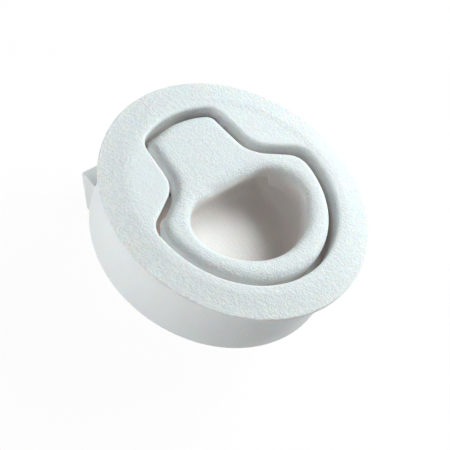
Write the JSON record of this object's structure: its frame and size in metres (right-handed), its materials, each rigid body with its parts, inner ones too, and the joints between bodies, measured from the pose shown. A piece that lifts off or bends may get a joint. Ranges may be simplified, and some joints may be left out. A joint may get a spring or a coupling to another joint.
{
  "type": "push-to-close latch",
  "caption": "Round flush push-to-close latch: a ring handle in a keyhole recess lifts on a pin and its lever arm draws back a spring-loaded ramped bolt behind the panel.",
  "frame": {"origin": "centre of the flange's underside, where the flange meets the panel's front", "axes": "+Z out of the panel along the round body's axis; -X towards the handle's tang and the latch bolt; Y along the handle's pin"},
  "size_m": [0.0648, 0.0634, 0.0371],
  "materials": {
    "white_moulding": "white moulded plastic with a fine grain",
    "bolt_plastic": "white moulded plastic, smooth where it slides",
    "steel": "ground steel",
    "spring_steel": "drawn spring wire",
    "zinc_screw": "zinc plated"
  },
  "bodies": {
    "base": {"housing": "white_moulding", "back_plate": "white_moulding", "bolt_case": "white_moulding", "handle_pin": "steel", "plate_screw_1": "zinc_screw", "plate_screw_2": "zinc_screw", "plate_screw_3": "zinc_screw", "plate_screw_4": "zinc_screw", "case_screw_1": "zinc_screw", "case_screw_2": "zinc_screw", "case_screw_3": "zinc_screw", "case_screw_4": "zinc_screw", "bolt_spring_left": "spring_steel", "bolt_spring_right": "spring_steel", "handle_spring_left": "spring_steel", "handle_spring_right": "spring_steel"},
    "handle": {"pull_handle": "white_moulding"},
    "bolt": {"latch_bolt": "bolt_plastic"}
  },
  "joints": [
    {"name": "handle_lift", "type": "hinge", "parent": "base", "child": "handle", "pos_m": [-0.0195, 0, -0.0017], "axis": [0, -1, 0], "range_deg": [0, 40], "stiffness_Nm_per_rad": 0.111, "springref_deg": -19.14, "deforming": ["handle_spring_left", "handle_spring_right"]},
    {"name": "bolt_slide", "type": "slide", "parent": "base", "child": "bolt", "axis": [1, 0, 0], "range_m": [0, 0.0078], "deforming": ["bolt_spring_left", "bolt_spring_right"]}
  ],
  "couplings": [
    {"joint": "bolt_slide", "follows": "handle_lift", "m_per_rad": 0.011049}
  ]
}
